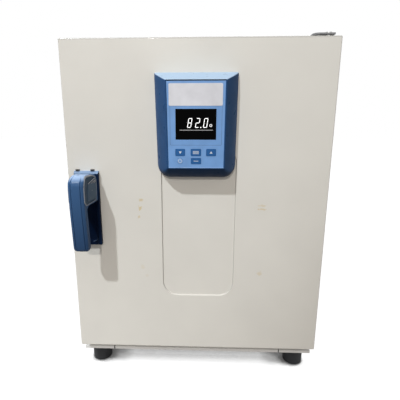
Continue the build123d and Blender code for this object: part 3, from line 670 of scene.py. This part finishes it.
def bent_line(corners, radius, steps=8):
    """Path through corners with round bends of that radius, as points in the XZ plane."""
    corners = np.array(corners)
    path = [corners[:1]]
    for before, here, after in zip(corners[:-2], corners[1:-1], corners[2:]):
        into = (before - here) / np.linalg.norm(before - here)
        out = (after - here) / np.linalg.norm(after - here)
        share = np.linspace(0, 1, steps)[:, None]
        path.append(here + into * radius * (1 - share) ** 2 + out * radius * share ** 2)
    path.append(corners[-1:])
    return np.concatenate(path)


FIELD_LEFT, FIELD_RIGHT, FIELD_FOOT = -50.8 * MM, 45.5 * MM, 529.2 * MM
field_top = badge_foot - 1.0 * MM
field = bent_line([(FIELD_LEFT, field_top), (FIELD_LEFT, FIELD_FOOT), (FIELD_RIGHT, FIELD_FOOT),
                   (FIELD_RIGHT, field_top)], 2.5 * MM)
film_line = moulded("film_line", shade(BLUE_LIGHT, 0.62), 0.40, 0.0005, 0.00001)
piece("field_line", [skin(ribbon(field, LINE_WIDTH, LINE_HEIGHT, film_y))], "door", "blue_light",
      look=film_line)

# %% Seven-segment figures
BAR = 1.15 * MM
DIGIT_WIDE, DIGIT_TALL, DIGIT_PITCH = 6.2 * MM, 16.3 * MM, 14.8 * MM
DIGIT_LEFT, DIGIT_FOOT = -18.5 * MM, 561.9 * MM
LEAN = math.tan(math.radians(9))
SEGMENTS = {"8": "abcdefg", "2": "abged", "0": "abcdef"}


def slab(outline, y_front, y_back):
    """Flat plate between two depths with the given outline in the XZ plane."""
    rows = np.stack([outline, outline])
    return skin(facing(rows, np.array([y_front, y_back])))


def bar(start, end, wide, gap=0.15 * MM):
    """Hexagon from start to end with pointed ends, as an outline in the XZ plane."""
    start, end = np.array(start), np.array(end)
    along = (end - start) / np.linalg.norm(end - start)
    across = np.array([-along[1], along[0]]) * wide / 2
    near, far = start + along * gap, end - along * gap
    inner_near, inner_far = near + along * wide / 2, far - along * wide / 2
    return np.array([near, inner_near - across, inner_far - across,
                     far, inner_far + across, inner_near + across])


def figure(digit, left):
    """Hexagons of one digit: a is the top bar, then clockwise b to f, and g is the middle."""
    right, top, middle = left + DIGIT_WIDE, DIGIT_TALL, DIGIT_TALL / 2
    ends = {"a": ((left, top), (right, top)), "b": ((right, top), (right, middle)),
            "c": ((right, middle), (right, 0)), "d": ((left, 0), (right, 0)),
            "e": ((left, middle), (left, 0)), "f": ((left, top), (left, middle)),
            "g": ((left, middle), (right, middle))}
    return [bar(*ends[name], BAR) for name in SEGMENTS[digit]]


def leaning(outline):
    """Outline moved to the display's line of figures and sheared to the right."""
    return np.stack([outline[:, 0] + outline[:, 1] * LEAN, outline[:, 1] + DIGIT_FOOT], axis=1)


def glowing(name, colour, low, high, strength):
    """Printed white that glows a little, as the display's figures do."""
    made = finish_start(name, colour, 0.5, Emission_Color=(1, 1, 1, 1), Emission_Strength=strength)
    tint(made, cloud(made, 0.002), (low,) * 3, (high,) * 3)
    return made


lens_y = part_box("display_lens")[0].y
glyph_y, glyph_back = lens_y - 0.05 * MM, lens_y + 0.02 * MM
digits = []
for place, digit in enumerate("820"):
    digits += figure(digit, DIGIT_LEFT + place * DIGIT_PITCH)
dot_x, dot = DIGIT_LEFT + DIGIT_PITCH + DIGIT_WIDE + 3.2 * MM, 1.7 * MM
digits.append(np.array([(dot_x, -dot / 2), (dot_x + dot, -dot / 2),
                        (dot_x + dot, dot / 2), (dot_x, dot / 2)]))
glow_white = glowing("glow_white", (0.9, 0.9, 0.9), 0.8, 0.95, 0.85)
piece("display_figures", [slab(leaning(d), glyph_y, glyph_back) for d in digits], "door", "badge_white",
      crease=20, look=glow_white)

# %% Degree ring and rule on the display
DEGREE_CENTRE = 25.0 * MM, DIGIT_FOOT + 3.4 * MM
DEGREE_OUTER, DEGREE_INNER = 2.4 * MM, 1.7 * MM
ring_turn = np.linspace(0, 2 * np.pi, 24, endpoint=False)
circle = np.stack([np.cos(ring_turn), np.sin(ring_turn)], axis=1)
degree_rows = np.array(DEGREE_CENTRE) + np.stack([circle * r for r in (DEGREE_OUTER, DEGREE_OUTER,
                                                                       DEGREE_INNER, DEGREE_INNER)])
degree = facing(degree_rows, np.array([glyph_back, glyph_y, glyph_y, glyph_back]))
piece("degree_ring", [skin(degree, "join")], "door", "badge_white", crease=20, look=glow_white)

RULE_LEFT, RULE_RIGHT, RULE_Z, RULE_HALF = -33.0 * MM, 28.8 * MM, 556.9 * MM, 0.6 * MM
rule = np.array([(RULE_LEFT, RULE_Z - RULE_HALF), (RULE_RIGHT, RULE_Z - RULE_HALF),
                 (RULE_RIGHT, RULE_Z + RULE_HALF), (RULE_LEFT, RULE_Z + RULE_HALF)])
rule_grey = glowing("rule_grey", (0.25, 0.25, 0.26), 0.2, 0.3, 0.10)
piece("display_rule", [slab(rule, glyph_y, glyph_back)], "door", "badge_white", look=rule_grey)

# %% Signs on the keys
sign_white = moulded("sign_white", (0.62, 0.68, 0.74), 0.45)
SIGN = 0.08 * MM


def key_centre(name):
    """Middle of a key's front face, and the depth of that face."""
    low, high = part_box(name)
    return (low.x + high.x) / 2, (low.z + high.z) / 2, low.y


def key_sign(name, outlines, body):
    """Thin raised print on a key, from outlines in millimetres about the key's middle."""
    x, z, y = key_centre(name)
    plates = [slab(o * MM + np.array([x, z]), y - SIGN, y + 0.02 * MM) for o in outlines]
    piece(name + "_sign", plates, body, "badge_white", crease=20, look=sign_white)


def flat_bar(half, middle):
    """Level bar a millimetre tall, from -half to half, at the height middle, in millimetres."""
    low, high = middle - 0.5, middle + 0.5
    return np.array([(-half, low), (half, low), (half, high), (-half, high)])


arrow = np.array([(-2.6, -2.0), (2.6, -2.0), (0.0, 2.6)])
key_sign("key_up", [arrow], "up_key")
key_sign("key_down", [arrow * np.array([1, -1])], "down_key")
key_sign("key_menu", [flat_bar(5.6, middle) for middle in (2.2, 0.0, -2.2)], "menu_key")
key_sign("key_enter", [flat_bar(4.4, 0.0)], "enter_key")

power_x, power_z, power_y = key_centre("key_power")
sweep = np.radians(np.linspace(125, 415, 40))
ring_path = np.stack([power_x + np.cos(sweep) * 3.4 * MM, power_z + np.sin(sweep) * 3.4 * MM], axis=1)
stem_path = np.stack([np.full(6, power_x), power_z + np.linspace(0.6, 4.4, 6) * MM], axis=1)
piece("key_power_sign", [skin(ribbon(p, 0.9 * MM, SIGN, power_y)) for p in (ring_path, stem_path)],
      "power_key", "badge_white", look=sign_white)

# %% [markdown]
# ## The lever
#
# The lever is a thick paddle that grows into a hood over its pivot. Its cross-section, seen from above,
# is worked out at many heights: the front edge rounds back at the top and the foot, the sides widen
# towards the door, the hood starts with an almost level underside, and a slot is open at the back where
# the pivot's ear stands. On the front, a shallow groove runs some millimetres inside the edge. In each
# side there is a pocket for the grey grip. The lever's front leans a little to the left of its pivot.

# %% Lever outline
lever_low, lever_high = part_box("handle_lever")
LEVER_X = (lever_low.x + lever_high.x) / 2
lever_front, lever_top, lever_foot = lever_low.y, lever_high.z, lever_low.z
pivot_y, pivot_z = door_y - 16 * MM, base_high.z - 18 * MM
HOOD_ARC = 24 * MM, 20 * MM
FOOT_ARC = 8 * MM
hood_low = base_high.z - 61.5 * MM
HALF_AT = np.array([0, 13, 67]) * MM, np.array([14.6, 15.6, 24.2]) * MM


def arc_back(distance, radius):
    """How far a corner of that radius falls back at a distance from the end it rounds."""
    inside = np.clip(radius - distance, 0, radius)
    return radius - np.sqrt(radius ** 2 - inside ** 2)


def flank(y, z):
    """Half of the lever's width: it widens towards the door and rounds off at the top and the foot."""
    end_round = arc_back(z - lever_foot, 11 * MM) * 0.6 + arc_back(lever_top - z, 13 * MM) * 0.5
    return np.interp(y - lever_front, *HALF_AT) - end_round


def sway(y, z):
    """How far the lever's front leans to the left: most of it at the hood, none of it near the door."""
    by_height = np.interp(z, [lever_foot, hood_low], [0.3, 1.0])
    by_depth = np.interp(y - lever_front, [0, 45 * MM], [1, 0])
    return -2.4 * MM * by_height * by_depth


def outside(points, polygon):
    """Signed distance to a convex polygon given anticlockwise: negative inside."""
    start, end = polygon, np.roll(polygon, -1, axis=0)
    edge = end - start
    normal = np.stack([edge[:, 1], -edge[:, 0]], axis=1) / np.linalg.norm(edge, axis=1, keepdims=True)
    return ((points[..., None, :] - start) * normal).sum(-1).max(-1)


def on_flank(corners):
    """Points of the flank given in millimetres behind the lever's front and above the hood's underside."""
    return np.array(corners) * MM + np.array([lever_front, hood_low])


GRIP = on_flank([(10.8, 1.9), (29.6, 3.1), (48.3, 4.8), (53.0, 29.5), (53.5, 42.5), (51.0, 53.6),
                 (40.0, 58.0), (19.2, 58.2), (10.5, 54.8), (5.6, 46.5), (3.2, 35.0), (3.2, 9.2)])
GRIP_DEEP = 3.0 * MM
print("lever", [round((lever_high - lever_low)[axis] / MM, 1) for axis in range(3)], "mm")

# %% Lever's front and back at each height
heights = np.unique(np.concatenate([
    lever_foot + np.array([0, 0.2, 0.6, 1.2, 2, 3, 4, 5, 5.6, 6, 6.4, 7, 8, 9]) * MM,
    np.linspace(lever_foot + 10 * MM, hood_low - 6 * MM, 30),
    np.linspace(hood_low - 5.5 * MM, hood_low + 3 * MM, 22),
    np.linspace(hood_low + 4 * MM, lever_top - 20 * MM, 36),
    lever_top - HOOD_ARC[1] * (1 - np.sin(np.linspace(0, np.pi / 2, 34)))]))
top_fall = arc_back(lever_top - heights, HOOD_ARC[1]) * HOOD_ARC[0] / HOOD_ARC[1]
lean_in = np.interp(heights, [lever_foot, hood_low], [3 * MM, 0])
front_y = lever_front + lean_in + top_fall + arc_back(heights - lever_foot, FOOT_ARC)
BACK_HEIGHTS = [lever_foot, lever_foot + 4 * MM, hood_low - 6 * MM, hood_low, hood_low + 3 * MM, pivot_z,
                lever_top - 3 * MM, lever_top]
BACK_DEPTHS = np.array([10, 13, 13, 19, 58.5, 58.5, 54, 34]) * MM
back_y = lever_front + lean_in + np.interp(heights, BACK_HEIGHTS, BACK_DEPTHS)
slot_open = (heights > pivot_z - 30 * MM) & (heights < pivot_z + 9.5 * MM)
slot_y = np.where(slot_open, pivot_y - 12 * MM, back_y)
SLOT_HALF = 7 * MM
print(len(heights), "heights up the lever")

# %% Lever skin
front_share = np.concatenate([np.linspace(0, 0.55, 7)[:-1], np.linspace(0.55, 1.0, 26)])
front_half = flank(front_y, heights)
front_x = front_half[:, None] * front_share
edge_gap = np.minimum(front_half[:, None] - front_x, (heights - lever_foot)[:, None] + 0.5 * MM)
BEVEL, BEVEL_FALL, GROOVE, GROOVE_HALF = 4.6 * MM, 2.2 * MM, 1.5 * MM, 0.7 * MM
fall = BEVEL_FALL * np.clip(1 - edge_gap / BEVEL, 0, 1) ** 1.3
groove = GROOVE * np.exp(-((edge_gap - BEVEL - GROOVE_HALF) / GROOVE_HALF) ** 2)
crown = 0.5 * MM * front_share ** 2
front_depth = front_y[:, None] + fall + groove + crown
side_share = np.linspace(0, 1, 56)[1:]
side_start = front_depth[:, -1:]
side_y = side_start + (back_y[:, None] - side_start) * side_share
side_points = np.stack([side_y, np.broadcast_to(heights[:, None], side_y.shape)], axis=-1)
pocket = GRIP_DEEP * np.clip(0.5 - outside(side_points, GRIP) / (0.7 * MM), 0, 1)
round_back = 0.9 * MM * (side_share > 0.999)
side_x = flank(side_y, heights[:, None]) - pocket - round_back
back_x = np.stack([side_x[:, -1] - 0.8 * MM, np.full(len(heights), SLOT_HALF),
                   np.full(len(heights), SLOT_HALF), np.zeros(len(heights))], axis=1)
back_depth = np.stack([back_y, back_y, slot_y, slot_y], axis=1)
half_x = np.concatenate([front_x, side_x, back_x], axis=1)
half_y = np.concatenate([front_depth, side_y, back_depth], axis=1)
ring_x = np.concatenate([half_x, -half_x[:, -2:0:-1]], axis=1) + LEVER_X
ring_y = np.concatenate([half_y, half_y[:, -2:0:-1]], axis=1)
ring_z = np.broadcast_to(heights[:, None], ring_x.shape)
lever_rows = np.stack([ring_x + sway(ring_y, ring_z), ring_y, ring_z], axis=-1)


def brick(low, high):
    """Plain closed box between two corners."""
    square = np.array([(low[0], low[1]), (high[0], low[1]), (high[0], high[1]), (low[0], high[1])])
    rows = np.stack([np.column_stack([square, np.full(4, z)]) for z in (low[2], high[2])])
    return skin(rows)


latch_low, latch_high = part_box("latch_hook")
finger_x = (latch_low.x + latch_high.x) / 2
finger = brick((finger_x - 3 * MM, pivot_y, pivot_z - 4 * MM),
               (finger_x + 3 * MM, lever_high.y, pivot_z + 4 * MM))
piece("lever_shell", [skin(lever_rows), finger], "lever", "blue_dark", ["handle_lever"], crease=40,
      look=lever_blue)

# %% [markdown]
# The grips are let into the pockets. From the outside in, each one has a raised rim that catches the
# light, a flat band, a groove and a soft crowned pad that sits low and to the back, with three slanting
# ribs above it. All of it is one grey plastic: the rim's lighter colour is a painted highlight and the
# band's darker colour is painted shade. Its rows pass from the pocket's outline to the pad's, and then
# shrink to the pad's middle; the height over the lever's side is read off a short profile.

# %% Grips
PAD = on_flank([(17.5, 8.7), (30.0, 8.7), (46.5, 9.3), (49.5, 25.5), (51.3, 38.5), (50.8, 40.5), (42.0, 41.1),
                (30.0, 42.1), (22.5, 42.5), (20.5, 40.5), (19.2, 30.5), (16.8, 12.5)])
TO_PAD = np.array([0.0, 0.0, 0.02, 0.05, 0.09, 0.13, 0.17, 0.80, 0.86, 0.92, 0.96, 1.0])
BAND_HEIGHT = np.array([-2.9, 0.2, 0.75, 1.0, 0.95, 0.6, 0.1, 0.1, -0.2, -0.3, 0.3, 0.65]) * MM
PAD_SHRINK = np.array([0.96, 0.88, 0.65, 0.35, 0.05])
PAD_HEIGHT = np.array([0.9, 1.05, 1.25, 1.4, 1.45]) * MM
RIM_BANDS, FLAT_BANDS = 6, 10


def soft_polygon(corners, radius, steps=5):
    """Outline of a polygon with each corner eased over the given radius."""
    closed = np.concatenate([corners[-1:], corners, corners[:1]])
    return bent_line(closed, radius, steps)[1:-1]


def grip_rows(side):
    """Rows of one grip; side is -1 on the left and 1 on the right."""
    outer, pad = soft_polygon(GRIP, 1.6 * MM), soft_polygon(PAD, 1.2 * MM)
    middle = pad.mean(axis=0)
    flat = np.concatenate([outer + (pad - outer) * TO_PAD[:, None, None],
                           middle + (pad - middle) * PAD_SHRINK[:, None, None]])
    height = np.concatenate([BAND_HEIGHT, PAD_HEIGHT])[:, None]
    reach = flank(flat[..., 0], flat[..., 1]) + height
    x = LEVER_X + sway(flat[..., 0], flat[..., 1]) + side * reach
    return np.stack([x, flat[..., 0], flat[..., 1]], axis=-1)


def rod(start, end, radius, steps=10):
    """Round bar with domed ends: circles along it, whose radius follows a half circle at each end."""
    start, end = np.array(start), np.array(end)
    axis = (end - start) / np.linalg.norm(end - start)
    across = np.cross(axis, (1.0, 0.0, 0.0))
    across /= np.linalg.norm(across)
    other = np.cross(axis, across)
    lean = np.radians([85, 60, 30, 0])
    far = np.linalg.norm(end - start) / radius
    along = np.concatenate([-np.sin(lean), far + np.sin(lean[::-1])]) * radius
    size = np.concatenate([np.cos(lean), np.cos(lean[::-1])]) * radius
    turn = np.linspace(0, 2 * np.pi, steps, endpoint=False)
    circle = np.cos(turn)[:, None] * across + np.sin(turn)[:, None] * other
    return start + along[:, None, None] * axis + size[:, None, None] * circle


# Painted highlight on the rim and painted shade on the band: lighter and darker copies of the grip's grey.
insert_rim_painted_highlight = moulded("insert_rim_painted_highlight", (0.30, 0.32, 0.36), 0.40, Specular_IOR_Level=0.3)
insert_band_painted_shade = moulded("insert_band_painted_shade", (0.035, 0.068, 0.115), 0.46, Specular_IOR_Level=0.15)
RIBS = [on_flank(ends) for ends in (((22.0, 43.0), (47.5, 50.0)), ((33.0, 42.0), (49.5, 46.4)),
                                    ((42.0, 41.0), (51.0, 43.6)))]
for side, hand in ((-1, "left"), (1, "right")):
    ribs = []
    for line in RIBS:
        y, z = line[:, 0], line[:, 1]
        reach = LEVER_X + sway(y, z) + side * (flank(y, z) + 0.5 * MM)
        ribs.append(skin(rod((reach[0], *line[0]), (reach[1], *line[1]), 0.9 * MM)))
    replaced = ["handle_inserts"] if side == 1 else []
    rows = grip_rows(side)
    made = piece("grip_" + hand, [skin(rows), *ribs], "lever", "insert_grey", replaced, crease=50)
    made.data.materials.append(insert_rim_painted_highlight)
    made.data.materials.append(insert_band_painted_shade)
    band = np.arange(len(rows) - 1)
    row_slot = np.select([band < RIM_BANDS, band < FLAT_BANDS], [1, 2], 0)
    face_slot = np.ones(len(made.data.polygons), int)
    face_slot[:row_slot.size * rows.shape[1]] = np.repeat(row_slot, rows.shape[1])
    made.data.polygons.foreach_set("material_index", face_slot)

# %% [markdown]
# ## Feet, screws and the seal
#
# Small things decide whether a view from below or behind is believable. The feet are turned shapes: a
# rubber pad with a hollow underside on a threaded stud. The screws have domed heads with a cross
# recess, pressed into a disc by a height formula. The seal is a bulb with two lips, carried round the
# chamber's mouth.

# %% Feet
THREAD_PITCH = 1.25 * MM
for corner_name in ("front_left", "front_right", "rear_left", "rear_right"):
    low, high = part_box("foot_" + corner_name)
    radius = (high.x - low.x) / 2
    pad_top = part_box("base_pan")[0].z - 0.3 * MM
    centre = ((low.x + high.x) / 2, (low.y + high.y) / 2, 0.0)
    inward = np.array([21.0, 7.4, 6.2, 5.4, 2.6, 1.4, 0.5, 0.1, 0.0,
                       0.0, 0.3, 0.3, 0.0, 0.0, 0.3, 1.1, 17.0]) * MM
    up = np.concatenate([np.array([1.2, 1.2, 0.9, 0.0, 0.0, 0.4, 1.3, 2.6, 4.2]) * MM,
                         pad_top - np.array([7.0, 6.6, 6.0, 5.6, 1.4, 0.6, 0.1, 0.1]) * MM])
    turns = np.arange(pad_top + 0.2 * MM, high.z - 0.8 * MM, THREAD_PITCH / 4)
    thread = np.stack([3.72 * MM + 0.26 * MM * np.cos(turns / THREAD_PITCH * 2 * np.pi), turns], axis=1)
    tip = np.array([(3.4 * MM, high.z - 0.5 * MM), (2.9 * MM, high.z), (0.3 * MM, high.z)])
    profile = np.concatenate([np.stack([radius - inward, up], axis=1), thread, tip])
    piece("foot_pad_" + corner_name, [skin(lathe(profile[:, 0], profile[:, 1], centre, 64))],
          corner_name + "_foot", "rubber_black", ["foot_" + corner_name])

# %% [markdown]
# The plinth's strip stops short of its two corner pieces. Behind each slit there would only be the white
# floor, but on the oven it is dark there in shade, so a small black block paints that shade behind it.

# %% Painted shade: black blocks in the two slits of the plinth
strip_low, strip_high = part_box("plinth_strip")
for x, hand in ((strip_low.x - 0.5 * MM, "left"), (strip_high.x + 0.5 * MM, "right")):
    backing = brick((x - 0.9 * MM, strip_low.y - 0.1 * MM, strip_low.z + 0.3 * MM),
                    (x + 0.9 * MM, strip_high.y + 1.2 * MM, strip_high.z - 0.3 * MM))
    piece("slit_shade_block_" + hand, [backing], "cabinet", "black_plastic")

# %% Screws
CROSS_HALF, CROSS_LONG, CROSS_DEEP = 0.13, 0.55, 0.42


def screw_head(radius, height):
    """Pan head about +Z at the origin: dome height times (1 - 0.55 r^4), less a cross-shaped recess."""
    r = np.concatenate([np.linspace(0.02, 0.7, 16), np.linspace(0.75, 1.0, 8)])
    turn = np.linspace(0, 2 * np.pi, 64, endpoint=False)
    x, y = r[:, None] * np.cos(turn), r[:, None] * np.sin(turn)
    dome = np.broadcast_to(1 - 0.55 * r[:, None] ** 4, x.shape)
    arm = np.maximum(np.maximum(np.abs(x) - CROSS_LONG, np.abs(y) - CROSS_HALF) * -1,
                     np.maximum(np.abs(y) - CROSS_LONG, np.abs(x) - CROSS_HALF) * -1)
    z = dome - CROSS_DEEP * np.clip(arm / 0.06, 0, 1)
    top = np.stack([x * radius, y * radius, z * height], axis=-1)
    skirt = top[-1:].copy()
    skirt[..., 2] = 0.0
    return np.concatenate([top, skirt])


def screw_heads(name, stands_for, radius, height, axis, places):
    """The heads of one group of screws, each laid along the axis and moved to its place."""
    head = tilted(screw_head(radius, height), axis)
    piece(name, [skin(head + np.array(p)) for p in places], "cabinet", "steel_bright", [stands_for])


COVER_RADIUS, HINGE_RADIUS = 4 * MM, 4.5 * MM
MIDDLE_SCREW = 390 * MM
rear_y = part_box("rear_cover")[1].y
low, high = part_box("cover_screws")
screw_heads("cover_screw_heads", "cover_screws", COVER_RADIUS, high.y - low.y, (0, 1, 0),
            [(x, rear_y, z) for x in (low.x + COVER_RADIUS, high.x - COVER_RADIUS)
             for z in (low.z + COVER_RADIUS, MIDDLE_SCREW, high.z - COVER_RADIUS)])
low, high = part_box("hinge_screws")
screw_heads("hinge_screw_heads", "hinge_screws", HINGE_RADIUS, high.z - low.z, (0, 0, 1),
            [(x, y, low.z) for x in (low.x + HINGE_RADIUS, high.x - HINGE_RADIUS)
             for y in (low.y + HINGE_RADIUS, high.y - HINGE_RADIUS)])

# %% Door seal
seal_low, seal_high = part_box("door_gasket")
SEAL_HALF = 7.0 * MM
seal_deep = seal_high.y - seal_low.y
bulb = np.radians(np.linspace(205, -25, 15))
bulb_radius = 3.3 * MM
section = np.concatenate([
    np.array([(-7.0, 0.0), (-7.0, 1.3), (-6.4, 1.8), (-4.2, 2.0)]) * MM,
    np.stack([bulb_radius * np.cos(bulb), seal_deep - bulb_radius + bulb_radius * np.sin(bulb)], axis=1),
    np.array([(4.2, 2.0), (6.4, 1.8), (7.0, 1.3), (7.0, 0.0)]) * MM])
offset = section[:, 0]
corner_radius = 17 * MM
seal_rows = rounded(seal_low.x + SEAL_HALF + offset, seal_high.x - SEAL_HALF - offset,
                    seal_low.z + SEAL_HALF + offset, seal_high.z - SEAL_HALF - offset,
                    corner_radius - offset, corner_radius - offset, steps=14)
piece("seal_bulb", [skin(facing(seal_rows, seal_high.y - section[:, 1]), "join")], "cabinet", "silicone_grey",
      ["door_gasket"])
